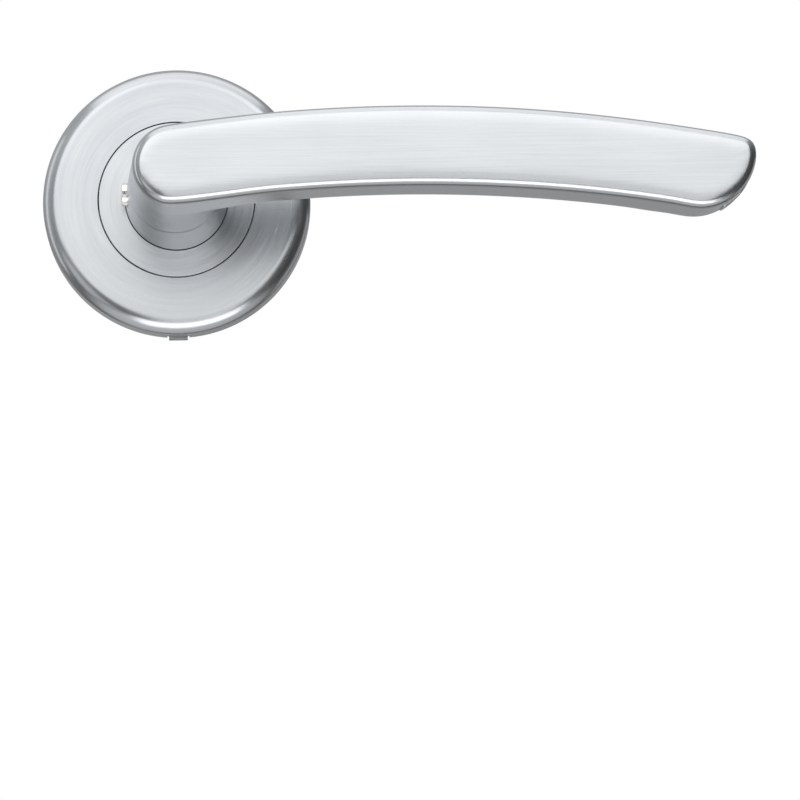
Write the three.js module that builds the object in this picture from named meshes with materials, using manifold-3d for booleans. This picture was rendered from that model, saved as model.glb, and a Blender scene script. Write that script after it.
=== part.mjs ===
// Lever handle on a round rose: one side of a door lever set.
//
// Every piece is drawn in handle coordinates and the finished group is turned once at the end:
//   x   along the lever, from the spindle axis to the tip
//   y   up
//   z   out of the door, from the face that the rose is screwed to
// All sizes are millimetres and the spindle axis is x = 0, y = 0.

import * as THREE from 'three';
import { mergeVertices } from 'three/addons/utils/BufferGeometryUtils.js';
import Module from 'manifold-3d';

// ---------------------------------------------------------------- driving dimensions

const fit = 0.3;                    // clearance between two pieces that seat on each other

// Rose cover
const coverRadius = 26;             // at the door
const coverDraft = 0.2;             // the skirt leans in by this much at the front
const coverDepth = 8.5;             // door face to front face
const coverWall = 1.2;
const coverEdge = 3.0;              // rounding between the skirt and the front face

// Collar: the flat ring between the cover and the neck
const collarRadius = 15;
const collarPegRadius = 1;
const collarPegCount = 3;
const collarNeckGap = 0.4;          // ring of shadow round the neck

// Base plate behind the cover
const baseRimGap = 0.6;             // between the base rim and the inside of the cover skirt
const baseFrontWall = 1.3;
const keeperLug = { width: 3.6, height: 1.8, proud: 0.45 };     // shows at the bottom of the rim
const lugSlotClearance = 0.35;
const fixingCircle = 19;            // 38 mm between opposite fixing screws
const fixingRadius = 2.25;
const fixingHeadRadius = 4.3;
const fixingCount = 4;

// Clips that hold the cover on
const clip = { thickness: 1.2, height: 2, halfAngle: 6 };
const clipAngles = [60, 180, 300];

// Back plate that closes the spring housing
const backPlateThickness = 1;
const backPlateMargin = 0.25;       // beyond the screw heads
const backScrewWall = 0.75;         // left between a screw hole and the spring housing
const backScrew = { radius: 0.8, headRadius: 1.4, headDepth: 0.6, length: 4.2 };
const backScrewAngles = [45, 165, 285];

// Hub that takes the spindle
const hubRadius = 8;
const hubRearProjection = 2.5;      // behind the door face
const hubRearEdge = 0.9;
const hubShoulder = 1.5;            // step that the neck's root rests on
const hubFront = 34;
const hubFrontEdge = 0.8;
const socketWidth = 8.2;            // across flats, for a square spindle
const socketDepth = 33.5;
const keyway = { width: 3, depth: 1.2 };

// Retaining ring behind the back plate
const ringThickness = 0.8;
const ringGrooveDepth = 1.1;
const ringProud = 1.3;              // beyond the hub surface
const ringGapAngle = 34;

// Bush between the hub and the base
const bushWall = 0.9;
const bushFlangeThickness = 0.8;

// Spring, its driver and the stops
const wireRadius = 0.6;
const springHubGap = 1.3;           // between the hub and the coil
const springTurns = 1.25;
const driverThickness = 0.9;
const driverLug = { height: 1.7, halfAngle: 7, angle: 110 };     // stands outside the spring
const housingGap = 0.5;             // between the lug and the housing wall
const leverRange = 45;              // degrees that the lever turns down
const bufferAngle = 6;
const stopAngle = 14;
const stopLegGap = 0.9;             // lets the pushed end of the spring pass behind the stops
const stopGapAngle = 1.6;           // between the lug, the buffers and the stops

// Neck: a cone from the collar to the front of the grip
const neckRootRadius = 9.9;
const neckBoreBeyondHub = 4.4;      // radius of the hollow between the hub and the grip
const neckBoreIntoGrip = 8.3;       // how far that hollow reaches in front of the grip's back

// Grip: a flat bar bent to a shallow arch
const gripFront = 62.8;             // door face to the front of the grip
const gripDepth = 15.1;
const gripHalfHeight = 7.25;
const gripEdge = 2;                 // rounding round the front and the back
const archRadius = 287.4;           // to the middle of the bar
const archTopX = 42.3;              // where the arch is highest
const archTopY = 1.5;
const gripStartX = 0.35;            // middle of the round end at the neck
const gripEndX = 104.65;
const tipCornerRadius = 3;
const gripWall = 1.8;
const neckFillet = 4.5;             // between the neck and the back of the grip
const neckFilletHalfHeight = 4;

// Plug in the lower corner of the tip
const plug = { length: 5.45, fromBack: 2.5, depth: 5.4, proud: 0.25 };

// Grub screw that clamps the lever on the spindle
const grub = { radius: 2.5, along: 15.5, proud: 0.8, slotWidth: 0.8, slotDepth: 1.2 };

// Roundness of what is drawn
const fineSegments = 72;
const segments = 40;
const smallSegments = 16;

// ---------------------------------------------------------------- derived places

const hubBoreRadius = hubRadius + fit;
const coverFrontInside = coverDepth - coverWall;
const baseFront = coverFrontInside - fit;
const housingFront = baseFront - baseFrontWall;
const coverInside = coverRadius - coverWall;
const baseRadius = coverInside - baseRimGap;
const bushOuterRadius = hubBoreRadius + bushWall;
const collarBore = neckRootRadius + collarNeckGap;
const collarPegCircle = (collarBore + collarRadius) / 2;
const bushFlangeRadius = collarBore - fit;
const bushFlangeFront = baseFront + fit + bushFlangeThickness;
const neckRoot = bushFlangeFront + fit;
const hubNeckRadius = hubRadius - hubShoulder;
const springRadius = hubRadius + springHubGap + wireRadius;
const driverRadius = springRadius + wireRadius + fit / 2;
const lugOuterRadius = driverRadius + driverLug.height;
const housingRadius = lugOuterRadius + housingGap;
const stopInner = driverRadius + fit;
const backScrewCircle = housingRadius + backScrewWall + backScrew.radius + fit;
const backPlateRadius = backScrewCircle + backScrew.headRadius + backPlateMargin;
const driverFront = housingFront - fit;
const driverRear = driverFront - driverThickness;
const springFront = driverRear - fit;
const springRear = backPlateThickness + fit;
const springPitch = (springFront - springRear - 2 * wireRadius) / springTurns;
const stopRear = springRear + 2 * wireRadius + stopLegGap;
const gripBack = gripFront - gripDepth;
const neckFront = gripFront - gripEdge;
const archCentreX = archTopX;
const archCentreY = archTopY - archRadius;
const neckTipX = gripStartX;
const neckTipY = archY(gripStartX);

// Height of the middle line of the grip at a place along the lever.
function archY(x) {
  return archCentreY + Math.sqrt(archRadius ** 2 - (x - archCentreX) ** 2);
}

// Radius and middle of the neck at a distance from the door.
function neckAt(z) {
  const t = (z - neckRoot) / (neckFront - neckRoot);
  return {
    radius: THREE.MathUtils.lerp(neckRootRadius, gripHalfHeight, t),
    x: neckTipX * t,
    y: neckTipY * t,
  };
}

// ---------------------------------------------------------------- solids

const wasm = await Module();
wasm.setup();

function toSolid(geometry) {
  const bare = geometry.index ? geometry.toNonIndexed() : geometry.clone();
  bare.deleteAttribute('normal');
  bare.deleteAttribute('uv');
  const merged = mergeVertices(bare, 1e-4);
  return new wasm.Manifold(new wasm.Mesh({
    numProp: 3,
    vertProperties: new Float32Array(merged.attributes.position.array),
    triVerts: new Uint32Array(merged.index.array),
  }));
}

function toGeometry(solid) {
  const { vertProperties, triVerts } = solid.getMesh();
  const geometry = new THREE.BufferGeometry();
  geometry.setAttribute('position', new THREE.BufferAttribute(new Float32Array(vertProperties), 3));
  geometry.setIndex(new THREE.BufferAttribute(new Uint32Array(triVerts), 1));
  geometry.computeVertexNormals();
  return geometry;
}

function join(first, ...others) {
  return toGeometry(others.reduce((solid, other) => solid.add(toSolid(other)), toSolid(first)));
}

function cut(body, ...tools) {
  return toGeometry(tools.reduce((solid, tool) => solid.subtract(toSolid(tool)), toSolid(body)));
}

function common(first, second) {
  return toGeometry(toSolid(first).intersect(toSolid(second)));
}

// A turned shape: points are [radius, z] and the axis is the spindle axis.
function turned(points, sides = segments) {
  const profile = points.map(([radius, z]) => new THREE.Vector2(radius, z));
  profile.push(profile[0].clone());
  const geometry = new THREE.LatheGeometry(profile, sides);
  geometry.rotateX(Math.PI / 2);
  return facingOut(geometry);
}

// A closed turned shape can come out inside out, depending on which way its profile runs.
function facingOut(geometry) {
  const position = geometry.attributes.position;
  const index = geometry.index;
  const corner = [new THREE.Vector3(), new THREE.Vector3(), new THREE.Vector3()];
  let volume = 0;
  for (let i = 0; i < index.count; i += 3) {
    corner.forEach((point, k) => point.fromBufferAttribute(position, index.getX(i + k)));
    volume += corner[0].dot(corner[1].clone().cross(corner[2]));
  }
  if (volume < 0) {
    for (let i = 0; i < index.count; i += 3) {
      const keep = index.getX(i + 1);
      index.setX(i + 1, index.getX(i + 2));
      index.setX(i + 2, keep);
    }
  }
  return geometry;
}

function tube(inner, outer, from, to, sides = segments) {
  return turned([[inner, from], [outer, from], [outer, to], [inner, to]], sides);
}

function rod(radius, from, to, x = 0, y = 0, sides = segments) {
  const geometry = new THREE.CylinderGeometry(radius, radius, to - from, sides);
  geometry.rotateX(Math.PI / 2);
  geometry.translate(x, y, (from + to) / 2);
  return geometry;
}

// A cone between two radii along z.
function cone(fromRadius, toRadius, from, to, x, y, sides = smallSegments) {
  const geometry = new THREE.CylinderGeometry(toRadius, fromRadius, to - from, sides);
  geometry.rotateX(Math.PI / 2);
  geometry.translate(x, y, (from + to) / 2);
  return geometry;
}

function block(x0, x1, y0, y1, z0, z1) {
  const geometry = new THREE.BoxGeometry(x1 - x0, y1 - y0, z1 - z0);
  geometry.translate((x0 + x1) / 2, (y0 + y1) / 2, (z0 + z1) / 2);
  return geometry;
}

function prism(shape, from, to, curveSegments = 12) {
  const options = { depth: to - from, bevelEnabled: false, curveSegments };
  const geometry = new THREE.ExtrudeGeometry(shape, options);
  geometry.translate(0, 0, from);
  return geometry;
}

// A piece of a ring between two radii and two angles in degrees.
function ringSector(inner, outer, fromAngle, toAngle, from, to) {
  const start = THREE.MathUtils.degToRad(fromAngle);
  const end = THREE.MathUtils.degToRad(toAngle);
  const shape = new THREE.Shape();
  shape.absarc(0, 0, outer, start, end, false);
  shape.absarc(0, 0, inner, end, start, true);
  shape.closePath();
  return prism(shape, from, to);
}

function onCircle(radius, degrees) {
  const angle = THREE.MathUtils.degToRad(degrees);
  return [radius * Math.cos(angle), radius * Math.sin(angle)];
}

function evenly(count, firstAngle = 0) {
  return Array.from({ length: count }, (_, i) => firstAngle + (360 * i) / count);
}

// ---------------------------------------------------------------- materials

const steel = (color, roughness) => new THREE.MeshStandardMaterial({ color, roughness, metalness: 1 });
const satinSteel = steel(0xc9cbcc, 0.32);
const plainSteel = steel(0x9a9c9e, 0.4);
const darkSteel = steel(0x55575a, 0.45);
const castZinc = steel(0x8c8f92, 0.55);
const nylon = new THREE.MeshStandardMaterial({ color: 0x2b2c2e, roughness: 0.6, metalness: 0 });

// ---------------------------------------------------------------- rose

function roseCover() {
  const frontRadius = coverRadius - coverDraft;
  const holeRadius = collarRadius + fit;
  const insideEdge = Math.max(coverEdge - coverWall, 0.4);
  const outline = [[coverInside, 0], [coverRadius, 0]];
  outline.push(...quarterTurn(frontRadius - coverEdge, coverDepth - coverEdge, coverEdge));
  outline.push([holeRadius, coverDepth], [holeRadius, coverFrontInside]);
  outline.push(...quarterTurn(coverInside - insideEdge, coverFrontInside - insideEdge, insideEdge).reverse());
  const slotHalf = keeperLug.width / 2 + lugSlotClearance;
  const slotTop = keeperLug.height + lugSlotClearance;
  const slot = block(-slotHalf, slotHalf, -coverRadius - 1, -coverInside + 1, -1, slotTop);
  return cut(turned(outline, fineSegments), slot);
}

// Points [radius, z] of a quarter circle that runs from facing outward to facing forward.
function quarterTurn(centreRadius, centreZ, radius, steps = 5) {
  return Array.from({ length: steps + 1 }, (_, i) => {
    const angle = (i / steps) * (Math.PI / 2);
    return [centreRadius + radius * Math.cos(angle), centreZ + radius * Math.sin(angle)];
  });
}

function bearingCollar() {
  const bevel = 0.15;
  const disc = turned([
    [collarBore, coverFrontInside], [collarRadius, coverFrontInside], [collarRadius, coverDepth - bevel],
    [collarRadius - bevel, coverDepth], [collarBore + bevel, coverDepth],
    [collarBore, coverDepth - bevel],
  ], fineSegments);
  const pegs = evenly(collarPegCount, 90).map((angle) => {
    const [x, y] = onCircle(collarPegCircle, angle);
    return rod(collarPegRadius, housingFront + fit, coverFrontInside + bevel, x, y, smallSegments);
  });
  return join(disc, ...pegs);
}

function subRose() {
  const rimEdge = 1.5;
  const body = turned([
    [0, 0], [baseRadius, 0], [baseRadius, baseFront - rimEdge], [baseRadius - rimEdge, baseFront], [0, baseFront],
  ], fineSegments);
  const lugHalf = keeperLug.width / 2;
  const lugReach = coverRadius + keeperLug.proud;
  const lug = block(-lugHalf, lugHalf, -lugReach, -baseRadius + 1, 0, keeperLug.height);
  const housing = rod(housingRadius, -1, housingFront);
  const bore = rod(bushOuterRadius + fit, -1, baseFront + 1);
  const seat = rod(backPlateRadius + fit, -1, backPlateThickness + fit);
  const tools = [housing, bore, seat];
  tools.push(...fixingHoles(), ...backScrewHoles(), ...pegHoles(), ...clipPockets());
  return join(cut(join(body, lug), ...tools), ...stops());
}

function fixingHoles() {
  const sinkDepth = fixingHeadRadius - fixingRadius;
  return evenly(fixingCount).flatMap((angle) => {
    const [x, y] = onCircle(fixingCircle, angle);
    const hole = rod(fixingRadius, -1, baseFront + 1, x, y, smallSegments);
    const sink = cone(fixingRadius, fixingHeadRadius, baseFront - sinkDepth, baseFront + 0.01, x, y);
    return [hole, sink];
  });
}

function backScrewHoles() {
  return backScrewAngles.map((angle) => {
    const [x, y] = onCircle(backScrewCircle, angle);
    return rod(backScrew.radius + fit, 0, backScrew.length + fit, x, y, smallSegments);
  });
}

function pegHoles() {
  return evenly(collarPegCount, 90).map((angle) => {
    const [x, y] = onCircle(collarPegCircle, angle);
    return rod(collarPegRadius + fit, housingFront - fit, baseFront + 1, x, y, smallSegments);
  });
}

function clipPockets() {
  const slack = 1.5;
  const half = clip.height / 2 + fit;
  const middle = baseFront / 2;
  return clipAngles.map((angle) => ringSector(
    clipOuterRadius() - clip.thickness - fit, baseRadius + 1,
    angle - clip.halfAngle - slack, angle + clip.halfAngle + slack,
    middle - half, middle + half,
  ));
}

function clipOuterRadius() {
  return coverInside - fit;
}

function coverClip(angle) {
  const outer = clipOuterRadius();
  const middle = baseFront / 2;
  const leaf = ringSector(
    outer - clip.thickness, outer, angle - clip.halfAngle, angle + clip.halfAngle,
    middle - clip.height / 2, middle + clip.height / 2,
  );
  const hollow = ringSector(
    outer - clip.thickness - 1, outer - clip.thickness / 2, angle - clip.halfAngle / 2,
    angle + clip.halfAngle / 2, middle - clip.height, middle + clip.height,
  );
  return cut(leaf, hollow);
}

// ---------------------------------------------------------------- spring cassette

// Angles of the stop faces. The lug starts at its own angle and turns down by the lever range.
function stopFaces() {
  const upper = driverLug.angle + driverLug.halfAngle + stopGapAngle;
  const lower = driverLug.angle - leverRange - driverLug.halfAngle - stopGapAngle;
  return { upper, lower };
}

function stops() {
  const { upper, lower } = stopFaces();
  const past = bufferAngle + stopGapAngle;
  const root = housingRadius + 0.5;
  return [
    ringSector(stopInner, root, upper + past, upper + past + stopAngle, stopRear, housingFront + 0.2),
    ringSector(stopInner, root, lower - past - stopAngle, lower - past, stopRear, housingFront + 0.2),
    ringSector(stopInner, root, springEndAngle() - 3 * stopAngle / 2, springEndAngle() - anchorGapAngle(),
      springRear + wireRadius, housingFront + 0.2),
  ];
}

function stopBuffer(fromAngle) {
  return ringSector(stopInner, housingRadius - fit, fromAngle, fromAngle + bufferAngle, stopRear, driverRear - fit);
}

function drivePlate() {
  const disc = turned([
    [hubBoreRadius, driverRear], [driverRadius, driverRear], [driverRadius, driverFront], [hubBoreRadius, driverFront],
  ]);
  const lug = ringSector(
    driverRadius - fit, lugOuterRadius, driverLug.angle - driverLug.halfAngle, driverLug.angle + driverLug.halfAngle,
    springRear + fit, driverFront,
  );
  const tooth = keyway.width / 2 - fit;
  const reach = hubRadius - keyway.depth + fit;
  const teeth = [1, -1].map((side) => {
    const y0 = Math.min(side * reach, side * (hubBoreRadius + 0.5));
    const y1 = Math.max(side * reach, side * (hubBoreRadius + 0.5));
    return block(-tooth, tooth, y0, y1, driverRear, driverFront);
  });
  return join(disc, cut(lug, springRoom()), ...teeth);
}

// The lug stands outside the spring, and its corner clears the bend in the spring's end.
function springRoom() {
  return tube(hubRadius, springRadius + wireRadius + 2 * fit, springRear - 1, driverRear);
}

// Angle of the fixed end of the spring.
function springEndAngle() {
  return springStartAngle() + springTurns * 360;
}

// Angle of the end that the lug pushes.
function springStartAngle() {
  const gap = THREE.MathUtils.radToDeg((wireRadius + 2 * fit) / driverRadius);
  return driverLug.angle - driverLug.halfAngle - gap;
}

function anchorGapAngle() {
  return THREE.MathUtils.radToDeg((wireRadius + 2 * fit) / stopInner);
}

function returnSpring() {
  const bend = 9;
  const rearZ = springRear + wireRadius;
  const start = springStartAngle();
  const end = springEndAngle();
  const place = (radius, angle, z) => new THREE.Vector3(...onCircle(radius, angle), z);
  const legReach = lugOuterRadius - fit / 2;
  const leg = (angle, z) => [legReach, (legReach + springRadius + wireRadius) / 2]
    .map((radius) => place(radius, angle, z));
  const points = [...leg(start, rearZ)];
  const turns = 30;
  for (let i = 0; i <= turns; i += 1) {
    const angle = THREE.MathUtils.lerp(start + bend, end - bend, i / turns);
    points.push(place(springRadius, angle, rearZ + (springPitch * (angle - start)) / 360));
  }
  points.push(...leg(end, rearZ + springPitch * springTurns).reverse());
  const path = new THREE.CatmullRomCurve3(points, false, 'centripetal');
  const section = new THREE.Shape();
  section.absarc(0, 0, wireRadius, 0, 2 * Math.PI, false);
  return new THREE.ExtrudeGeometry(section, { steps: 72, curveSegments: 8, extrudePath: path });
}

function backPlate() {
  const plate = tube(hubBoreRadius, backPlateRadius, 0, backPlateThickness);
  const tools = backScrewAngles.flatMap((angle) => {
    const [x, y] = onCircle(backScrewCircle, angle);
    const hole = rod(backScrew.radius + fit, -1, backPlateThickness + 1, x, y, smallSegments);
    const sink = rod(backScrew.headRadius + fit, -1, backScrew.headDepth + fit / 2, x, y, smallSegments);
    return [hole, sink];
  });
  return cut(plate, ...tools);
}

function backPlateScrew(angle) {
  const [x, y] = onCircle(backScrewCircle, angle);
  const head = rod(backScrew.headRadius, 0, backScrew.headDepth, x, y, smallSegments);
  const shank = rod(backScrew.radius, 0.1, backScrew.length, x, y, smallSegments);
  const slotHalf = 0.2;
  const slot = block(x - slotHalf, x + slotHalf, y - 2, y + 2, -1, backScrew.headDepth / 2);
  return cut(join(head, shank), slot);
}

function bearingBush() {
  const flangeRear = baseFront + fit;
  return turned([
    [hubBoreRadius, housingFront + fit], [bushOuterRadius, housingFront + fit], [bushOuterRadius, flangeRear],
    [bushFlangeRadius, flangeRear], [bushFlangeRadius, bushFlangeFront], [hubBoreRadius, bushFlangeFront],
  ]);
}

// ---------------------------------------------------------------- hub

function spindleHub() {
  const rear = -hubRearProjection;
  const shoulder = neckRoot - fit;
  const grooveFront = 0;
  const grooveRear = grooveFront - ringThickness - 2 * fit;
  const grooveRadius = hubRadius - ringGrooveDepth;
  const outline = [
    [0, rear], [hubRadius - hubRearEdge, rear], [hubRadius, rear + hubRearEdge / 2], [hubRadius, grooveRear],
    [grooveRadius, grooveRear], [grooveRadius, grooveFront], [hubRadius, grooveFront], [hubRadius, shoulder],
    [hubNeckRadius, shoulder], [hubNeckRadius, hubFront - hubFrontEdge],
    [hubNeckRadius - hubFrontEdge, hubFront], [0, hubFront],
  ];
  const half = socketWidth / 2;
  const socket = block(-half, half, -half, half, rear - 1, rear + socketDepth);
  const keyHalf = keyway.width / 2;
  const keyFloor = hubRadius - keyway.depth;
  const keyEnd = driverFront + fit;
  const tools = [
    socket,
    block(-keyHalf, keyHalf, keyFloor, hubRadius + 1, rear - 1, keyEnd),
    block(-keyHalf, keyHalf, -hubRadius - 1, -keyFloor, rear - 1, keyEnd),
    acrossRod(grub.radius, -hubNeckRadius - 1, 0, grub.along),
  ];
  return cut(turned(outline), ...tools);
}

// A rod along x at a distance from the door.
function acrossRod(radius, fromX, toX, z) {
  const geometry = new THREE.CylinderGeometry(radius, radius, toX - fromX, smallSegments);
  geometry.rotateZ(Math.PI / 2);
  geometry.translate((fromX + toX) / 2, 0, z);
  return geometry;
}

function retainingRing() {
  const inner = hubRadius - ringGrooveDepth + fit;
  const outer = hubRadius + ringProud;
  const from = -fit - ringThickness;
  const openHalf = ringGapAngle / 2;
  const ring = ringSector(inner, outer, -90 + openHalf, 270 - openHalf, from, -fit);
  const ears = [1, -1].map((side) => {
    const [x, y] = onCircle(outer - 0.2, -90 + side * (openHalf + 6));
    return rod(1.1, from, -fit, x, y, smallSegments);
  });
  const holes = [1, -1].map((side) => {
    const [x, y] = onCircle(outer - 0.2, -90 + side * (openHalf + 6));
    return rod(0.5, from - 1, 0, x, y, smallSegments);
  });
  return cut(join(ring, ...ears), ...holes);
}

// ---------------------------------------------------------------- lever

// Outline of the grip seen from the front, drawn inside the finished outline by an inset.
// Both long edges share one centre, so every inset keeps the same end middles.
function gripOutline(inset) {
  const outer = archRadius + gripHalfHeight - inset;
  const inner = archRadius - gripHalfHeight + inset;
  const startAngle = Math.atan2(archY(gripStartX) - archCentreY, gripStartX - archCentreX);
  const corner = tipCorner();
  const sweep = tipSweep(corner);
  const cornerAngle = Math.atan2(corner.y - archCentreY, corner.x - archCentreX);
  const sweepAngle = Math.atan2(sweep.y - archCentreY, sweep.x - archCentreX);
  const shape = new THREE.Shape();
  shape.absarc(archCentreX, archCentreY, outer, startAngle, cornerAngle, true);
  shape.absarc(corner.x, corner.y, corner.radius - inset, cornerAngle, 0, true);
  shape.absarc(sweep.x, sweep.y, sweep.radius - inset, 0, sweepAngle - Math.PI, true);
  shape.absarc(archCentreX, archCentreY, inner, sweepAngle, startAngle, false);
  shape.absarc(gripStartX, archY(gripStartX), gripHalfHeight - inset, startAngle + Math.PI, startAngle, true);
  shape.closePath();
  return shape;
}

// Middle of the small corner at the top of the tip.
function tipCorner() {
  const radius = tipCornerRadius;
  const x = gripEndX - radius;
  const reach = archRadius + gripHalfHeight - radius;
  const y = archCentreY + Math.sqrt(reach ** 2 - (x - archCentreX) ** 2);
  return { x, y, radius };
}

// Middle of the large arc that starts level with the corner's middle and meets the lower edge.
function tipSweep(corner) {
  const rise = corner.y - archCentreY;
  const reach = gripEndX - archCentreX;
  const lowerEdge = archRadius - gripHalfHeight;
  const radius = (rise ** 2 + reach ** 2 - lowerEdge ** 2) / (2 * (lowerEdge + reach));
  return { x: gripEndX - radius, y: corner.y, radius };
}

function gripBar() {
  const geometry = new THREE.ExtrudeGeometry(gripOutline(0), {
    depth: gripDepth - 2 * gripEdge,
    bevelEnabled: true,
    bevelThickness: gripEdge,
    bevelSize: gripEdge,
    bevelOffset: -gripEdge,
    bevelSegments: 3,
    curveSegments: 12,
  });
  geometry.translate(0, 0, gripBack + gripEdge);
  return geometry;
}

function neckCone() {
  const length = neckFront - neckRoot;
  const geometry = new THREE.CylinderGeometry(gripHalfHeight, neckRootRadius, length, segments);
  geometry.rotateX(Math.PI / 2);
  geometry.translate(0, 0, length / 2);
  const lean = new THREE.Matrix4().set(
    1, 0, neckTipX / length, 0,
    0, 1, neckTipY / length, 0,
    0, 0, 1, 0,
    0, 0, 0, 1,
  );
  geometry.applyMatrix4(lean);
  geometry.translate(0, 0, neckRoot);
  return geometry;
}

// Hollow corner between the neck and the back of the grip, drawn in plan and stood upright.
function neckFilletBlock() {
  const neck = neckAt(gripBack);
  const side = neck.x + Math.sqrt(neck.radius ** 2 - neckFilletHalfHeight ** 2);
  const overlap = 1.5;
  const shape = new THREE.Shape();
  shape.moveTo(side - overlap, gripBack + overlap);
  shape.lineTo(side - overlap, gripBack - neckFillet);
  shape.lineTo(side, gripBack - neckFillet);
  shape.absarc(side + neckFillet, gripBack - neckFillet, neckFillet, Math.PI, Math.PI / 2, true);
  shape.lineTo(side + neckFillet, gripBack + overlap);
  shape.closePath();
  const geometry = prism(shape, -neckFilletHalfHeight, neckFilletHalfHeight);
  geometry.rotateX(Math.PI / 2);
  geometry.scale(1, -1, 1);
  return mirrored(geometry, neck.y);
}

// Puts a shape right side out again after it was mirrored, and lifts it.
function mirrored(geometry, lift) {
  const whole = mergeVertices(geometry);
  const index = whole.index;
  for (let i = 0; i < index.count; i += 3) {
    const keep = index.getX(i + 1);
    index.setX(i + 1, index.getX(i + 2));
    index.setX(i + 2, keep);
  }
  whole.translate(0, lift, 0);
  return whole;
}

function leverShell() {
  const bar = join(gripBar(), neckCone(), neckFilletBlock());
  const hollow = prism(gripOutline(gripWall), gripBack + gripWall, gripFront - gripWall, 16);
  const grubMouth = neckAt(grub.along).x - neckAt(grub.along).radius;
  return cut(
    bar,
    hollow,
    rod(hubNeckRadius + fit, neckRoot - 1, hubFront + fit),
    rod(neckBoreBeyondHub, hubFront, gripBack + neckBoreIntoGrip),
    acrossRod(grub.radius, grubMouth - 2, 0, grub.along),
    plugRegion(fit),
  );
}

// The corner of the tip that the plug fills, grown by a clearance.
function plugRegion(grow) {
  const corner = tipCorner();
  return block(
    gripEndX - plug.length - grow, gripEndX + 2, corner.y - 2 * gripHalfHeight - 2, corner.y + grow,
    gripBack + plug.fromBack - grow, gripBack + plug.fromBack + plug.depth + grow,
  );
}

function tipPlug() {
  const plate = cut(
    prism(gripOutline(-plug.proud), gripBack, gripFront, 20),
    prism(gripOutline(gripWall), gripBack - 1, gripFront + 1, 20),
  );
  return common(plate, plugRegion(0));
}

function grubScrew() {
  const neck = neckAt(grub.along);
  const head = neck.x - neck.radius - grub.proud;
  const tip = -socketWidth / 2 - fit;
  const body = acrossRod(grub.radius - fit, head, tip, grub.along);
  const slot = block(
    head - 1, head + grub.slotDepth, -grub.slotWidth / 2, grub.slotWidth / 2,
    grub.along - grub.radius - 1, grub.along + grub.radius + 1,
  );
  return cut(body, slot);
}

// ---------------------------------------------------------------- assembly

const rose = new THREE.Group();
const cassette = new THREE.Group();
const lever = new THREE.Group();

function add(group, name, geometry, material) {
  const mesh = new THREE.Mesh(geometry, material);
  mesh.name = name;
  group.add(mesh);
}

add(rose, 'sub_rose', subRose(), castZinc);
add(rose, 'rose_cover', roseCover(), satinSteel);
add(rose, 'bearing_collar', bearingCollar(), satinSteel);
add(rose, 'bearing_bush', bearingBush(), nylon);
clipAngles.forEach((angle, i) => add(rose, `cover_clip_${i + 1}`, coverClip(angle), plainSteel));

add(cassette, 'back_plate', backPlate(), plainSteel);
backScrewAngles.forEach((angle, i) => add(cassette, `back_plate_screw_${i + 1}`, backPlateScrew(angle), darkSteel));
add(cassette, 'return_spring', returnSpring(), plainSteel);
add(cassette, 'stop_buffer_upper', stopBuffer(stopFaces().upper), nylon);
add(cassette, 'stop_buffer_lower', stopBuffer(stopFaces().lower - bufferAngle), nylon);

add(lever, 'lever_shell', leverShell(), satinSteel);
add(lever, 'tip_plug', tipPlug(), satinSteel);
add(lever, 'spindle_hub', spindleHub(), plainSteel);
add(lever, 'drive_plate', drivePlate(), plainSteel);
add(lever, 'retaining_ring', retainingRing(), darkSteel);
add(lever, 'grub_screw', grubScrew(), plainSteel);

const handle = new THREE.Group();
handle.add(rose, cassette, lever);
handle.rotation.x = Math.PI / 2;    // y up and z out become +Z up and -Y out of the door

export default handle;
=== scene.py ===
"""Lever handle on a round rose: satin stainless steel, one side of a door lever set.

World axes: +X along the lever to its tip, -Y out of the door, +Z up, and the origin on the
spindle axis at the door's face. Sizes below are in millimetres and become metres through MM.
"""

import math

import bmesh
import bpy
from mathutils import Matrix, Vector


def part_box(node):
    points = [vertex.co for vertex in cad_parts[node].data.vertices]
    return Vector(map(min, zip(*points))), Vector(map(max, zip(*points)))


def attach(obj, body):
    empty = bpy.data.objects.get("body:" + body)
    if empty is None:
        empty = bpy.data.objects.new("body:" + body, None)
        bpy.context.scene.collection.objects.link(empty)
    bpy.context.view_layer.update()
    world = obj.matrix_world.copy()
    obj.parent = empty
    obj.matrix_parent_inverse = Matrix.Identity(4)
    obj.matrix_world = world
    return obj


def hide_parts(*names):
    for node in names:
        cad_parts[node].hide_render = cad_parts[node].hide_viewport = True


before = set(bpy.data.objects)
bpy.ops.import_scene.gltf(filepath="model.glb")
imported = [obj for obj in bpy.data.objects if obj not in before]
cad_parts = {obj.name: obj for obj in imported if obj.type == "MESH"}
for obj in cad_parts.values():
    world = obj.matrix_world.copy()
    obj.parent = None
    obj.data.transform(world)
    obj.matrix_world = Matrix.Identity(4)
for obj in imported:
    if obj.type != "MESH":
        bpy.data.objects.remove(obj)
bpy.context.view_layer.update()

MM = 0.001
NEAR = 0.004  # a point this close to a ring is on it
ON_FACE = 0.01  # and this close to a flat face is on that
WELD = 0.003  # points closer than this become one
PAST = 1.0  # a cutting tool runs this far past the face that it opens

# ---------------------------------------------------------------- sizes shared by several pieces

lever_low, lever_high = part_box("lever_shell")
GRIP_FRONT = -lever_low.y / MM
NECK_ROOT = -lever_high.y / MM
GRIP_TIP = lever_high.x / MM

ARCH_RADIUS = 287.4
ARCH_TOP_X = 42.3
ARCH_TOP_Z = 1.5
GRIP_START_X = 0.35
GRIP_HALF_HEIGHT = 7.25
GRIP_DEPTH = 15.1
GRIP_BACK = GRIP_FRONT - GRIP_DEPTH
TIP_CORNER = 3.0
NECK_ROOT_RADIUS = 9.9

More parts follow.
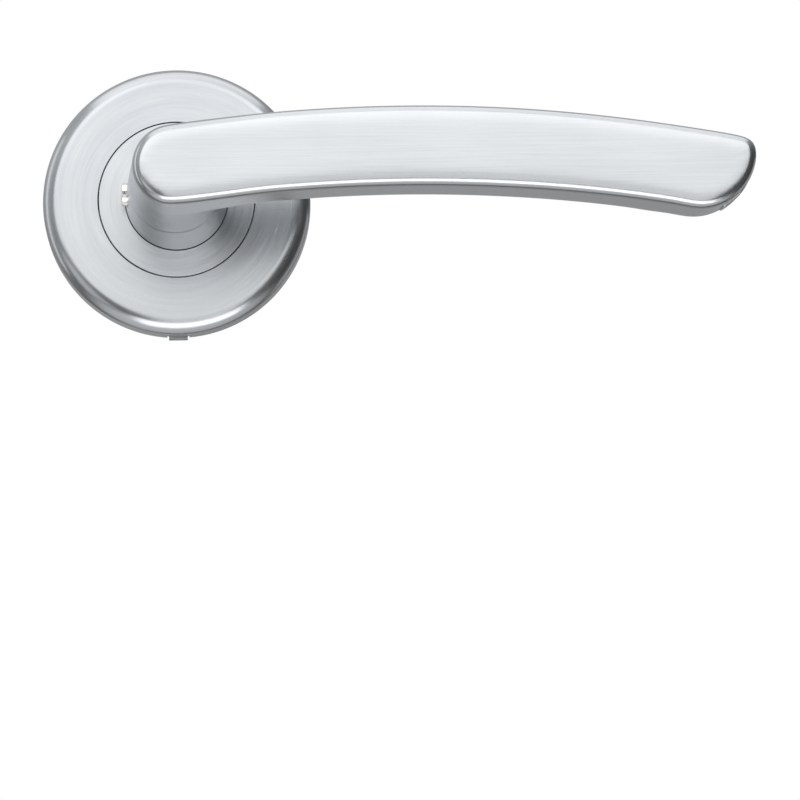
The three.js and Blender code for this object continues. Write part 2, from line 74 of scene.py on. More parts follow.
COVER_RADIUS = 26.0
COVER_DRAFT = 0.2
COVER_DEPTH = 8.5
COVER_WALL = 1.2
COVER_EDGE = 3.0
COVER_INSIDE_EDGE = 1.8
BASE_EDGE = 1.5
COVER_HOLE = 15.2
COLLAR_RADIUS = 15.0
COLLAR_BORE = 9.97
COLLAR_BACK = COVER_DEPTH - COVER_WALL
PEG_RADIUS = 1.0
PEG_CIRCLE = 12.65
PEG_ANGLES = (90, 210, 330)
PEG_ROOT = 0.3
FIT = 0.3

HUB_RADIUS = 8.0
HUB_NECK_RADIUS = 6.5
HUB_REAR = -2.5
HUB_FRONT = 34.0
HUB_SHOULDER = 8.1
KEYWAY_HALF_WIDTH = 1.5
KEYWAY_FLOOR = 6.8
RING_THICKNESS = 0.8
RING_GROOVE_RADIUS = 6.9
SOCKET = 8.2
SOCKET_FRONT = 31.0
SOCKET_CORNER = 6.2  # the mouth of the socket lies inside this radius
SOCKET_CHAMFER = 0.35
GRUB_OUT = 15.5
GRUB_RADIUS = 2.5
GRUB_SLOT = 0.8
GRUB_SLOT_DEPTH = 1.2
GRUB_CHAMFER = 0.9
GRUB_HOLE_START = -12.0
NECK_SEAM_OUT = 29.5
NECK_SEAM_WIDTH = 0.5
NECK_SEAM_DEPTH = 0.4

# ---------------------------------------------------------------- camera


def make_camera():
    """A long lens a little below the handle, looking slightly up at the front of the lever."""
    place = Vector((11.7, -651.2, -97.1)) * MM
    azimuth, elevation, roll = (math.radians(a) for a in (-2.75, -8.48, -1.02))
    back = Vector(
        (
            math.sin(azimuth) * math.cos(elevation),
            -math.cos(azimuth) * math.cos(elevation),
            math.sin(elevation),
        )
    )
    level = Vector((0, 0, 1)).cross(back).normalized()
    upright = back.cross(level)
    right = level * math.cos(roll) + upright * math.sin(roll)
    up = back.cross(right)
    turn = Matrix((right, up, back)).transposed()
    lens = bpy.data.cameras.new("camera")
    lens.lens = 151.25
    lens.sensor_width = 36
    lens.shift_x = 0.0037
    lens.shift_y = -0.2462
    lens.clip_end = 50
    camera = bpy.data.objects.new("camera", lens)
    camera.matrix_world = Matrix.Translation(place) @ turn.to_4x4()
    bpy.context.scene.collection.objects.link(camera)
    bpy.context.scene.camera = camera


# ---------------------------------------------------------------- working in edit mode


def start_piece(name):
    """Names the primitive that was just added and puts its size and place into its mesh."""
    piece = bpy.context.object
    piece.name = name
    piece.data.name = name
    bpy.ops.object.transform_apply(location=True, rotation=True, scale=True)
    bpy.ops.object.mode_set(mode="EDIT")
    bpy.ops.mesh.select_all(action="DESELECT")
    return piece


def nothing_selected():
    """Leaves edit mode and deselects every object."""
    if bpy.context.object and bpy.context.object.mode != "OBJECT":
        bpy.ops.object.mode_set(mode="OBJECT")
    bpy.ops.object.select_all(action="DESELECT")


def pick(piece):
    """Makes a piece the only one selected, and the one that operators work on."""
    nothing_selected()
    piece.select_set(True)
    bpy.context.view_layer.objects.active = piece


def edit_all_of(piece):
    """Opens a piece in edit mode with all of it selected."""
    pick(piece)
    bpy.ops.object.mode_set(mode="EDIT")
    bpy.ops.mesh.select_all(action="SELECT")


def edit_mesh():
    return bmesh.from_edit_mesh(bpy.context.object.data)


def select_vertices(test):
    """Selects the vertices whose place in millimetres passes the test."""
    bpy.ops.mesh.select_mode(type="VERT")
    bpy.ops.mesh.select_all(action="DESELECT")
    mesh = edit_mesh()
    for vertex in mesh.verts:
        vertex.select = test(vertex.co / MM)
    mesh.select_flush_mode()
    bmesh.update_edit_mesh(bpy.context.object.data)


def select_nearest(*places):
    """Selects the vertex nearest to each place in millimetres."""
    bpy.ops.mesh.select_mode(type="VERT")
    bpy.ops.mesh.select_all(action="DESELECT")
    mesh = edit_mesh()
    for place in places:
        nearest = min(mesh.verts, key=lambda vertex: (vertex.co / MM - place).length)
        nearest.select = True
    bmesh.update_edit_mesh(bpy.context.object.data)


def select_faces(test):
    """Selects the faces whose middle in millimetres and normal pass the test."""
    bpy.ops.mesh.select_mode(type="FACE")
    bpy.ops.mesh.select_all(action="DESELECT")
    mesh = edit_mesh()
    mesh.normal_update()
    for face in mesh.faces:
        face.select = test(face.calc_center_median() / MM, face.normal)
    bmesh.update_edit_mesh(bpy.context.object.data)


def slice_at(place, direction):
    """Cuts an edge loop through the whole piece."""
    bpy.ops.mesh.select_all(action="SELECT")
    bpy.ops.mesh.bisect(plane_co=place * MM, plane_no=direction, use_fill=False)
    bpy.ops.mesh.select_all(action="DESELECT")


def move(x=0.0, y=0.0, z=0.0):
    bpy.ops.transform.translate(value=(x * MM, y * MM, z * MM))


def scale(x, y, z, centre):
    bpy.ops.transform.resize(value=(x, y, z), center_override=Vector(centre) * MM)


def apply_modifier(piece, kind, **settings):
    pick(piece)
    modifier = piece.modifiers.new(kind.title(), kind)
    for key, value in settings.items():
        setattr(modifier, key, value)
    bpy.ops.object.modifier_apply(modifier=modifier.name)


def on_ring(place, out, radius):
    """Whether a place lies at a distance from the door and from the spindle axis."""
    return abs(place.y + out) < NEAR and abs(math.hypot(place.x, place.z) - radius) < NEAR


def round_edges(piece, width, segments=2, sharpness=40):
    """Rounds every sharp edge of a piece."""
    edit_all_of(piece)
    bpy.ops.mesh.select_mode(type="EDGE")
    bpy.ops.mesh.select_all(action="DESELECT")
    bpy.ops.mesh.edges_select_sharp(sharpness=math.radians(sharpness))
    bpy.ops.mesh.bevel(offset=width * MM, segments=segments, profile=0.5, affect="EDGES")
    bpy.ops.object.mode_set(mode="OBJECT")


def turned(name, profile, open_bore=True, sides=128):
    """A turned piece. The profile is a list of (out, radius, rounding) round the section."""
    nothing_selected()
    out, radius, _ = profile[0]
    bpy.ops.mesh.primitive_circle_add(
        vertices=sides,
        radius=radius * MM,
        rotation=(math.pi / 2, 0, 0),
        location=(0, -out * MM, 0),
        fill_type="NOTHING" if open_bore else "NGON",
    )
    piece = start_piece(name)
    bpy.ops.mesh.select_all(action="SELECT")
    for next_out, next_radius, _ in profile[1:]:
        bpy.ops.mesh.extrude_region_move(
            TRANSFORM_OT_translate={"value": (0, (out - next_out) * MM, 0)}
        )
        ratio = next_radius / radius
        scale(ratio, 1, ratio, (0, -next_out, 0))
        out, radius = next_out, next_radius
    if open_bore:
        ends = (profile[0][:2], profile[-1][:2])
        select_vertices(lambda co: any(on_ring(co, *end) for end in ends))
        bpy.ops.mesh.select_mode(type="EDGE")
        bpy.ops.mesh.bridge_edge_loops()
    bpy.ops.mesh.select_all(action="SELECT")
    bpy.ops.mesh.normals_make_consistent(inside=False)
    for out, radius, rounding in profile:
        if rounding:
            select_vertices(lambda co: on_ring(co, out, radius))
            segments = 12 if rounding > 1 else 3
            bpy.ops.mesh.bevel(
                offset=rounding * MM, segments=segments, profile=0.5, affect="EDGES"
            )
    bpy.ops.object.mode_set(mode="OBJECT")
    return piece


def cone(length, radius, end_radius, turn, place, sides):
    """A solid cone, or a rod where no end radius is given, about its middle."""
    nothing_selected()
    bpy.ops.mesh.primitive_cone_add(
        vertices=sides,
        radius1=radius * MM,
        radius2=(radius if end_radius is None else end_radius) * MM,
        depth=length * MM,
        rotation=turn,
        location=[value * MM for value in place],
    )
    piece = start_piece("rod")
    bpy.ops.object.mode_set(mode="OBJECT")
    return piece


def rod(start, end, radius, x=0.0, z=0.0, end_radius=None, sides=64):
    """A solid rod or cone out of the door, mostly for cutting a hole."""
    middle = (x, -(start + end) / 2, z)
    return cone(end - start, radius, end_radius, (math.pi / 2, 0, 0), middle, sides)


def side_rod(from_x, to_x, radius, end_radius=None):
    """A solid rod or cone on the axis of the grub screw."""
    middle = ((from_x + to_x) / 2, -GRUB_OUT, 0)
    return cone(to_x - from_x, radius, end_radius, (0, math.pi / 2, 0), middle, sides=64)


def block(x, out, z):
    """A solid block between pairs of distances, mostly for cutting a slot."""
    nothing_selected()
    bpy.ops.mesh.primitive_cube_add(
        size=MM,
        location=(sum(x) / 2 * MM, -sum(out) / 2 * MM, sum(z) / 2 * MM),
        scale=(x[1] - x[0], out[1] - out[0], z[1] - z[0]),
    )
    piece = start_piece("block")
    bpy.ops.object.mode_set(mode="OBJECT")
    return piece


def sector(name, radii, outs, angles, centre=(0.0, 0.0), steps=12):
    """A piece of a ring, spun from its section. Angles in degrees from +X towards +Z."""
    nothing_selected()
    bpy.ops.mesh.primitive_plane_add(size=MM)
    piece = start_piece(name)
    bpy.ops.mesh.select_all(action="SELECT")
    scale(radii[1] - radii[0], outs[1] - outs[0], 1, (0, 0, 0))
    move(x=sum(radii) / 2, y=-sum(outs) / 2)
    middle = Vector((centre[0], 0, centre[1])) * MM
    start = Matrix.Rotation(-math.radians(angles[0]), 4, "Y")
    mesh = edit_mesh()
    for vertex in mesh.verts:
        vertex.co = start @ vertex.co + middle
    bmesh.update_edit_mesh(piece.data)
    bpy.ops.mesh.spin(
        steps=steps,
        angle=math.radians(angles[1] - angles[0]),
        center=middle,
        axis=(0, 1, 0),
    )
    bpy.ops.mesh.select_all(action="SELECT")
    bpy.ops.mesh.remove_doubles(threshold=0.0001 * MM)
    bpy.ops.mesh.normals_make_consistent(inside=False)
    bpy.ops.object.mode_set(mode="OBJECT")
    return piece


def on_circle(radius, degrees):
    """The x and z of a place on a circle about the spindle axis."""
    angle = math.radians(degrees)
    return radius * math.cos(angle), radius * math.sin(angle)


def combine(piece, tools, operation):
    """Adds or cuts away each tool in turn, and uses the tools up."""
    for tool in tools:
        if piece.data.materials and not tool.data.materials:
            tool.data.materials.append(piece.data.materials[0])
        settings = {"object": tool, "operation": operation, "solver": "EXACT"}
        apply_modifier(piece, "BOOLEAN", material_mode="TRANSFER", **settings)
        bpy.data.objects.remove(tool)
    weld(piece)
    return piece


def cut(piece, *tools):
    return combine(piece, tools, "DIFFERENCE")


def join(piece, *others):
    return combine(piece, others, "UNION")


def weld(piece):
    """Closes the seams that cutting leaves between points at the same place."""
    edit_all_of(piece)
    bpy.ops.mesh.remove_doubles(threshold=WELD * MM)
    bpy.ops.mesh.dissolve_degenerate(threshold=WELD * MM)
    bpy.ops.object.mode_set(mode="OBJECT")


def finish(piece, node, body, material, sharpness=35, even=True):
    """Smooth shading, finish and the joint body that the piece moves with."""
    weld(piece)
    piece.name = piece.data.name = node + "_made"
    bpy.ops.object.shade_smooth_by_angle(angle=math.radians(sharpness))
    if even:
        apply_modifier(piece, "WEIGHTED_NORMAL", keep_sharp=True)
    if not any(piece.data.materials):
        piece.data.materials.clear()
        piece.data.materials.append(material)
    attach(piece, body)
    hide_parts(node)
    return piece


# ---------------------------------------------------------------- lever shell


def arch_z(x):
    """Height of the middle line of the grip."""
    return ARCH_TOP_Z - ARCH_RADIUS + math.sqrt(ARCH_RADIUS**2 - (x - ARCH_TOP_X) ** 2)


def neck_ring(out):
    """Radius and middle of the neck at a distance from the door."""
    share = (out - NECK_ROOT) / (GRIP_FRONT - 2 - NECK_ROOT)
    radius = NECK_ROOT_RADIUS + (GRIP_HALF_HEIGHT - NECK_ROOT_RADIUS) * share
    return radius, GRIP_START_X * share, arch_z(GRIP_START_X) * share


def tip_arc():
    """Middle and radius of the large arc that runs from the tip down to the lower edge."""
    corner_x = GRIP_TIP - TIP_CORNER
    upper = ARCH_RADIUS + GRIP_HALF_HEIGHT - TIP_CORNER
    rise = math.sqrt(upper**2 - (corner_x - ARCH_TOP_X) ** 2)
    reach = GRIP_TIP - ARCH_TOP_X
    lower = ARCH_RADIUS - GRIP_HALF_HEIGHT
    radius = (rise**2 + reach**2 - lower**2) / (2 * (lower + reach))
    return GRIP_TIP - radius, ARCH_TOP_Z - ARCH_RADIUS + rise, radius


RING_SIDES = 16
EDGE_ROOM = 3.5  # support loops this far from an edge round it to about 2 mm
ELBOW_ROOM = 7.9  # and these round the hollow corner behind the grip to about 4.5 mm
ROOT_EDGE = 0.15  # a loop this close keeps the edge of the neck root sharp
NECK_LOOPS = (5.6, 22, 31)  # the first of these is out from the root, the others from the door
SIDE_LOOP = 7.5

# Heights of the nine lines along the side of the grip, from its top edge to its bottom edge,
# and the sections that they run through.
GRIP_LINES = (7.25, 3.75, 2.25, 1.05, 0.0, -1.05, -2.25, -3.75, -7.25)
GRIP_FIRST = 14.5
GRIP_STATIONS = (20, 31, 43, 55, 66)
GRIP_SLANTS = ((78, 73.5), (89.5, 78.5))  # top and bottom of the sections that lean to the tip


def lever_shell(steel, glint_steel):
    piece = neck_cylinder()
    grow_grip()
    round_the_front()
    bpy.ops.object.mode_set(mode="OBJECT")
    apply_modifier(piece, "SUBSURF", levels=3, render_levels=3)
    piece.data.materials.append(steel)
    neck_side = neck_ring(GRUB_OUT)[1] - neck_ring(GRUB_OUT)[0]
    over, under = 0.5, 0.2
    chamfer = side_rod(
        neck_side - over,
        neck_side + GRUB_CHAMFER + under,
        GRUB_RADIUS + GRUB_CHAMFER + over,
        GRUB_RADIUS - under,
    )
    grub_hole = side_rod(GRUB_HOLE_START, 0, GRUB_RADIUS)
    # The hole and its chamfer take the cut steel, whose colour carries a painted glint.
    for tool in (chamfer, grub_hole):
        tool.data.materials.append(glint_steel)
    cut(
        piece,
        rod(NECK_ROOT - PAST, HUB_FRONT + FIT, HUB_NECK_RADIUS + FIT, sides=96),
        grub_hole,
        chamfer,
        plug_block("plug_room", PLUG_ROOM),
        neck_seam(),
    )
    return finish(piece, "lever_shell", "lever", steel, sharpness=28, even=False)


def neck_seam():
    """A thin ring that leaves the hairline seam between the root and the bend of the neck."""
    radius, x, z = neck_ring(NECK_SEAM_OUT)
    start, end = NECK_SEAM_OUT - NECK_SEAM_WIDTH / 2, NECK_SEAM_OUT + NECK_SEAM_WIDTH / 2
    ring = rod(start, end, radius + PAST, x, z, sides=96)
    middle = rod(start - PAST, end + PAST, radius - NECK_SEAM_DEPTH, x, z, sides=96)
    return cut(ring, middle)


def neck_cylinder():
    """The neck and the round end of the grip, as one tapered and leaning cylinder."""
    nothing_selected()
    bpy.ops.mesh.primitive_cylinder_add(
        vertices=RING_SIDES,
        radius=MM,
        depth=(GRIP_FRONT - NECK_ROOT) * MM,
        rotation=(math.pi / 2, 0, 0),
        location=(0, -(GRIP_FRONT + NECK_ROOT) / 2 * MM, 0),
    )
    piece = start_piece("lever")
    first_loop, *middle_loops = NECK_LOOPS
    outs = [NECK_ROOT + ROOT_EDGE, NECK_ROOT + first_loop, *middle_loops]
    outs += [GRIP_BACK - ELBOW_ROOM, GRIP_BACK]
    outs += [GRIP_BACK + EDGE_ROOM, GRIP_BACK + SIDE_LOOP, GRIP_FRONT - EDGE_ROOM]
    for out in outs:
        slice_at(Vector((0, -out, 0)), (0, 1, 0))
    pull_in = (2 + math.cos(2 * math.pi / RING_SIDES)) / 3
    for out in [NECK_ROOT, *outs, GRIP_FRONT]:
        radius, x, z = neck_ring(out)
        select_vertices(lambda co: abs(co.y + out) < ON_FACE)
        scale(radius / pull_in, 1, radius / pull_in, (0, -out, 0))
        move(x=x, z=z)
    return piece


def grow_grip():
    """Pulls the grip out of the right side of the neck, section by section."""
    select_faces(lambda co, normal: normal.x > 0.1 and -GRIP_FRONT < co.y < -GRIP_BACK)
    pull_section(lambda line: (GRIP_FIRST, arch_z(GRIP_FIRST) + GRIP_LINES[line]), lean=0)
    for station in GRIP_STATIONS:
        pull_section(lambda line: (station, arch_z(station) + GRIP_LINES[line]))
    for top_x, bottom_x in GRIP_SLANTS:
        pull_section(lambda line: slanted_section(line, top_x, bottom_x))
    pull_section(lambda line: tip_outline(line, EDGE_ROOM))
    pull_section(lambda line: tip_outline(line, 0))


def pull_section(place, lean=0.5):
    """Extrudes the selected side of the grip and puts each of its nine lines in its place."""
    bpy.ops.mesh.extrude_region_move(TRANSFORM_OT_translate={"value": (5 * MM, 0, 0)})
    mesh = edit_mesh()
    rows = {}
    for vertex in mesh.verts:
        if vertex.select:
            rows.setdefault(round(vertex.co.y / MM, 2), []).append(vertex)
    for row in rows.values():
        row.sort(key=lambda vertex: -vertex.co.z - lean * vertex.co.x)
        for line, vertex in enumerate(row):
            x, z = place(line)
            vertex.co.x = x * MM
            vertex.co.z = z * MM
    bmesh.update_edit_mesh(bpy.context.object.data)


def slanted_section(line, top_x, bottom_x):
    """Where a line meets a section that leans from its top edge to its bottom edge."""
    x = top_x + (bottom_x - top_x) * line / (len(GRIP_LINES) - 1)
    return x, arch_z(x) + GRIP_LINES[line]


# The smoothed surface lies a little inside the points that it is made from, so the points at the
# end of the grip stand outside its outline by these shares.
OUTSIDE_CORNER = 1.02
OUTSIDE_ARC = 1.021
TOP_POINT = 0.57  # along the corner, as a share of its radius
TOP_INSET = 0.65
SIDE_POINT = 0.36  # and down the corner
ARC_FIRST_ANGLE = -10.25
ARC_STEP_ANGLE = 20.5
BOTTOM_START = 4.3
BOTTOM_STEP = 3.9


def tip_outline(line, inset):
    """Where a line meets the end of the grip: a small corner on top and a large arc below it."""
    middle_x, middle_z, radius = tip_arc()
    corner_x = GRIP_TIP - TIP_CORNER
    if line == 0:
        x = corner_x - TOP_INSET * inset if inset else corner_x + TOP_POINT * TIP_CORNER
        return x, arch_z(x) + GRIP_HALF_HEIGHT * OUTSIDE_CORNER
    if line == 1:
        x = corner_x + TIP_CORNER * OUTSIDE_CORNER - inset
        return x, middle_z + (TIP_CORNER - inset) * SIDE_POINT
    if line >= 7:
        x = middle_x - BOTTOM_START - (line - 7) * BOTTOM_STEP
        if line == 8:
            return x - inset, arch_z(x - inset) - GRIP_HALF_HEIGHT
        return x, arch_z(x) - GRIP_HALF_HEIGHT + inset
    angle = math.radians(ARC_FIRST_ANGLE - ARC_STEP_ANGLE * (line - 2))
    reach = radius * OUTSIDE_ARC - inset
    return middle_x + reach * math.cos(angle), middle_z + reach * math.sin(angle)


def round_the_front():
    """One flat front face with a support loop inside its rim, cut across at each section."""
    for _ in range(2):
        select_faces(lambda co, normal: abs(co.y + GRIP_FRONT) < ON_FACE)
        bpy.ops.mesh.dissolve_faces()
    select_faces(lambda co, normal: abs(co.y + GRIP_FRONT) < ON_FACE)
    bpy.ops.mesh.inset(thickness=EDGE_ROOM * MM, depth=0, use_even_offset=True)
    inner = GRIP_HALF_HEIGHT - EDGE_ROOM
    cuts = [(station, station) for station in (GRIP_FIRST, *GRIP_STATIONS)] + list(GRIP_SLANTS)
    for top_x, bottom_x in cuts:
        top = Vector((top_x, -GRIP_FRONT, arch_z(top_x) + inner))
        bottom = Vector((bottom_x, -GRIP_FRONT, arch_z(bottom_x) - inner))
        select_nearest(top, bottom)
        bpy.ops.mesh.vert_connect()


# ---------------------------------------------------------------- plug and grub screw

PLUG_BACK = 50.2
PLUG_FRONT = 55.6
PLUG_START_X = 99.2
PLUG_PROUD = 0.25
PLUG_ROOM = 0.2
PLUG_TOP_ANGLE = -0.3
SMALL_EDGE = 0.2
GRIP_WALL = 1.8


def plug_block(name, room):
    """The plug's shape, or with some room the hole that it sits in."""
    middle_x, middle_z, radius = tip_arc()
    end_angle = math.degrees(math.acos((PLUG_START_X - room - middle_x) / radius))
    slack = math.degrees(room / radius)
    radii = (radius - GRIP_WALL, radius + (2 * PAST if room else PLUG_PROUD))
    return sector(
        name,
        radii,
        (PLUG_BACK - room, PLUG_FRONT + room),
        (-end_angle, slack + PLUG_TOP_ANGLE),
        centre=(middle_x, middle_z),
        steps=24,
    )


def tip_plug(steel):
    piece = plug_block("tip_plug", 0)
    round_edges(piece, SMALL_EDGE, segments=3)
    return finish(piece, "tip_plug", "lever", steel)


def grub_screw(steel):
    """A slotted screw that stands a little out of the side of the neck."""
    low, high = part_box("grub_screw")
    head = low.x / MM
    radius = (high.z - low.z) / 2 / MM
    piece = side_rod(head, high.x / MM, radius)
    round_edges(piece, SMALL_EDGE)
    deep = (head - PAST, head + GRUB_SLOT_DEPTH)
    along = (GRUB_OUT - radius - PAST, GRUB_OUT + radius + PAST)
    cut(piece, block(deep, along, (-GRUB_SLOT / 2, GRUB_SLOT / 2)))
    return finish(piece, "grub_screw", "lever", steel)


# ---------------------------------------------------------------- rose


def rose_cover(steel):
    inside = COVER_RADIUS - COVER_WALL
    piece = turned(
        "rose_cover",
        [
            (0, inside, 0.15),
            (0, COVER_RADIUS, 0.2),
            (COVER_DEPTH, COVER_RADIUS - COVER_DRAFT, COVER_EDGE),
            (COVER_DEPTH, COVER_HOLE, 0.08),
            (COLLAR_BACK, COVER_HOLE, 0.1),
            (COLLAR_BACK, inside, COVER_INSIDE_EDGE),
        ],
        sides=192,
    )
    half, top = LUG_HALF_WIDTH + LUG_ROOM, LUG_HEIGHT + LUG_ROOM
    cut(piece, block((-half, half), (-PAST, top), (-COVER_RADIUS - PAST, PAST - inside)))
    return finish(piece, "rose_cover", "cover", steel)


def bearing_collar(steel):
    piece = turned(
        "bearing_collar",
        [
            (COLLAR_BACK, COLLAR_BORE, 0.1),
            (COLLAR_BACK, COLLAR_RADIUS, 0.1),
            (COVER_DEPTH, COLLAR_RADIUS, 0.08),
            (COVER_DEPTH, COLLAR_BORE, 0.05),
        ],
        sides=160,
    )
    start, end = HOUSING_FRONT + FIT, COLLAR_BACK + PEG_ROOT
    join(piece, *[rod(start, end, PEG_RADIUS, *on_circle(PEG_CIRCLE, a)) for a in PEG_ANGLES])
    return finish(piece, "bearing_collar", "rose_base", steel)


# ---------------------------------------------------------------- hub


def spindle_hub(steel):
    groove_rear = -RING_THICKNESS - 2 * FIT
    piece = turned(
        "spindle_hub",
        [
            (HUB_REAR, HUB_RADIUS, 0.8),
            (groove_rear, HUB_RADIUS, 0.15),
            (groove_rear, RING_GROOVE_RADIUS, 0),
            (0, RING_GROOVE_RADIUS, 0),
            (0, HUB_RADIUS, 0.15),
            (HUB_SHOULDER, HUB_RADIUS, 0.2),
            (HUB_SHOULDER, HUB_NECK_RADIUS, 0),
            (HUB_FRONT, HUB_NECK_RADIUS, 0.8),
        ],
        open_bore=False,
    )
    half = SOCKET / 2
    rear = HUB_REAR - PAST
    keyway = (-KEYWAY_HALF_WIDTH, KEYWAY_HALF_WIDTH)
    beyond = HUB_RADIUS + 2 * PAST
    cut(
        piece,
        block((-half, half), (rear, SOCKET_FRONT), (-half, half)),
        block(keyway, (rear, DRIVER_FRONT + FIT), (KEYWAY_FLOOR, beyond)),
        block(keyway, (rear, DRIVER_FRONT + FIT), (-beyond, -KEYWAY_FLOOR)),
        side_rod(-HUB_RADIUS, 0, GRUB_RADIUS),
    )
    bpy.ops.object.mode_set(mode="EDIT")
    select_edges_within(HUB_REAR, SOCKET_CORNER)
    bpy.ops.mesh.bevel(offset=SOCKET_CHAMFER * MM, segments=2, affect="EDGES")
    bpy.ops.object.mode_set(mode="OBJECT")
    return finish(piece, "spindle_hub", "lever", steel)


def select_edges_within(out, radius):
    """Selects edges at a distance from the door that lie inside a radius."""
    bpy.ops.mesh.select_mode(type="EDGE")
    bpy.ops.mesh.select_all(action="DESELECT")
    mesh = edit_mesh()
    for edge in mesh.edges:
        ends = [vertex.co / MM for vertex in edge.verts]
        edge.select = all(
            abs(end.y + out) < ON_FACE and math.hypot(end.x, end.z) < radius for end in ends
        )
    bmesh.update_edit_mesh(bpy.context.object.data)


# ---------------------------------------------------------------- base of the rose

BASE_RADIUS = 24.2
BASE_FRONT = 7.0
HOUSING_FRONT = 5.7
HOUSING_RADIUS = 12.85
SEAT_RADIUS = 16.65
SEAT_FRONT = 1.3
LUG_HALF_WIDTH = 1.8
LUG_HEIGHT = 1.8
LUG_REACH = 26.45
LUG_ROOM = 0.35
BUSH_RADIUS = 9.2
BUSH_FLANGE_RADIUS = 10.0
FIXING_CIRCLE = 19.0
FIXING_RADIUS = 2.25
FIXING_HEAD_RADIUS = 4.3
CLIP_ANGLES = (60, 180, 300)
CLIP_RADIUS = 24.5
CLIP_THICKNESS = 1.2
CLIP_REAR = 2.5
CLIP_FRONT = 4.5
CLIP_HALF_ANGLE = 6
CLIP_HOLLOW_HALF_ANGLE = 3
POCKET_HALF_ANGLE = 7.5
BACK_SCREW_ANGLES = (45, 165, 285)
BACK_SCREW_CIRCLE = 14.7
BACK_SCREW_RADIUS = 0.8
BACK_SCREW_TIP_RADIUS = 0.6
BACK_SCREW_LENGTH = 4.2
BACK_SCREW_HEAD_RADIUS = 1.4
BACK_SCREW_HEAD_DEPTH = 0.6
BACK_SCREW_SLOT = 0.4
BACK_PLATE_THICKNESS = 1.0
STOP_RADIUS = 10.95
STOP_REAR = 3.4
STOP_ROOT = 0.5  # the stops reach this far into the wall of the housing
STOP_FRONT_ROOT = 0.2  # and this far into its floor
STOP_ANGLES = ((126.2, 140.2), (34.8, 48.8))
ANCHOR_ANGLES = (165.5, 180.3)
ANCHOR_REAR = 1.9
BUFFER_ANGLE = 6.0
BUFFER_GAP_ANGLE = 1.6


def sub_rose(casting):
    piece = turned(
        "sub_rose", [(0, BASE_RADIUS, 0.3), (BASE_FRONT, BASE_RADIUS, BASE_EDGE)], open_bore=False
    )
    lug_rear = 0.05  # just off the door, so that it shares no face with the base
    lug_width = (-LUG_HALF_WIDTH, LUG_HALF_WIDTH)
    join(piece, block(lug_width, (lug_rear, LUG_HEIGHT), (-LUG_REACH, PAST - BASE_RADIUS)))
    tools = [
        rod(-PAST, HOUSING_FRONT, HOUSING_RADIUS, sides=96),
        rod(-2 * PAST, BASE_FRONT + PAST, BUSH_RADIUS + FIT, sides=96),
        rod(-1.5 * PAST, SEAT_FRONT, SEAT_RADIUS, sides=128),
    ]
    sink = FIXING_HEAD_RADIUS - FIXING_RADIUS
    over, under = 0.5, 0.3
    for angle in (0, 90, 180, 270):
        x, z = on_circle(FIXING_CIRCLE, angle)
        tools.append(rod(-PAST, BASE_FRONT + PAST, FIXING_RADIUS, x, z))
        start, end = BASE_FRONT - sink - under, BASE_FRONT + over
        tools.append(rod(start, end, FIXING_RADIUS - under, x, z, FIXING_HEAD_RADIUS + over))
    screw_end, screw_radius = BACK_SCREW_LENGTH + FIT, BACK_SCREW_RADIUS + FIT
    for angle in BACK_SCREW_ANGLES:
        x, z = on_circle(BACK_SCREW_CIRCLE, angle)
        tools.append(rod(0, screw_end, screw_radius, x, z, sides=32))
    for angle in PEG_ANGLES:
        x, z = on_circle(PEG_CIRCLE, angle)
        tools.append(rod(HOUSING_FRONT - FIT, BASE_FRONT + PAST, PEG_RADIUS + FIT, x, z, sides=32))
    pocket_radii = (CLIP_RADIUS - CLIP_THICKNESS - FIT, BASE_RADIUS + PAST)
    pocket_outs = (CLIP_REAR - FIT, CLIP_FRONT + FIT)
    for angle in CLIP_ANGLES:
        pocket_angles = (angle - POCKET_HALF_ANGLE, angle + POCKET_HALF_ANGLE)
        tools.append(sector("pocket", pocket_radii, pocket_outs, pocket_angles))
    cut(piece, *tools)
    stop_radii = (STOP_RADIUS, HOUSING_RADIUS + STOP_ROOT)
    stop_front = HOUSING_FRONT + STOP_FRONT_ROOT
    stops = [
        sector("stop", stop_radii, (STOP_REAR, stop_front), angles) for angles in STOP_ANGLES
    ]
    stops.append(sector("anchor", stop_radii, (ANCHOR_REAR, stop_front), ANCHOR_ANGLES))
    join(piece, *stops)
    return finish(piece, "sub_rose", "rose_base", casting)


def bearing_bush(nylon):
    rear = HOUSING_FRONT + FIT
    flange_rear = BASE_FRONT + FIT
    piece = turned(
        "bearing_bush",
        [
            (rear, HUB_RADIUS + FIT, 0.15),
            (rear, BUSH_RADIUS, 0.15),
            (flange_rear, BUSH_RADIUS, 0),
            (flange_rear, BUSH_FLANGE_RADIUS, 0.1),
            (HUB_SHOULDER, BUSH_FLANGE_RADIUS, 0.15),
            (HUB_SHOULDER, HUB_RADIUS + FIT, 0.15),
        ],
    )
    return finish(piece, "bearing_bush", "rose_base", nylon)


def cover_clips(steel):
    """Each clip is thinner in the middle, where it springs."""
    inner = CLIP_RADIUS - CLIP_THICKNESS
    radii = (inner, CLIP_RADIUS)
    hollow_radii = (inner - PAST, CLIP_RADIUS - CLIP_THICKNESS / 2)
    hollow_outs = (CLIP_REAR - 1.5 * PAST, CLIP_FRONT + 1.5 * PAST)
    for i, angle in enumerate(CLIP_ANGLES):
        angles = (angle - CLIP_HALF_ANGLE, angle + CLIP_HALF_ANGLE)
        hollow_angles = (angle - CLIP_HOLLOW_HALF_ANGLE, angle + CLIP_HOLLOW_HALF_ANGLE)
        piece = sector(f"clip_{i}", radii, (CLIP_REAR, CLIP_FRONT), angles, steps=16)
        cut(piece, sector("hollow", hollow_radii, hollow_outs, hollow_angles, steps=8))
        round_edges(piece, 0.1)
        finish(piece, f"cover_clip_{i + 1}", "rose_base", steel)


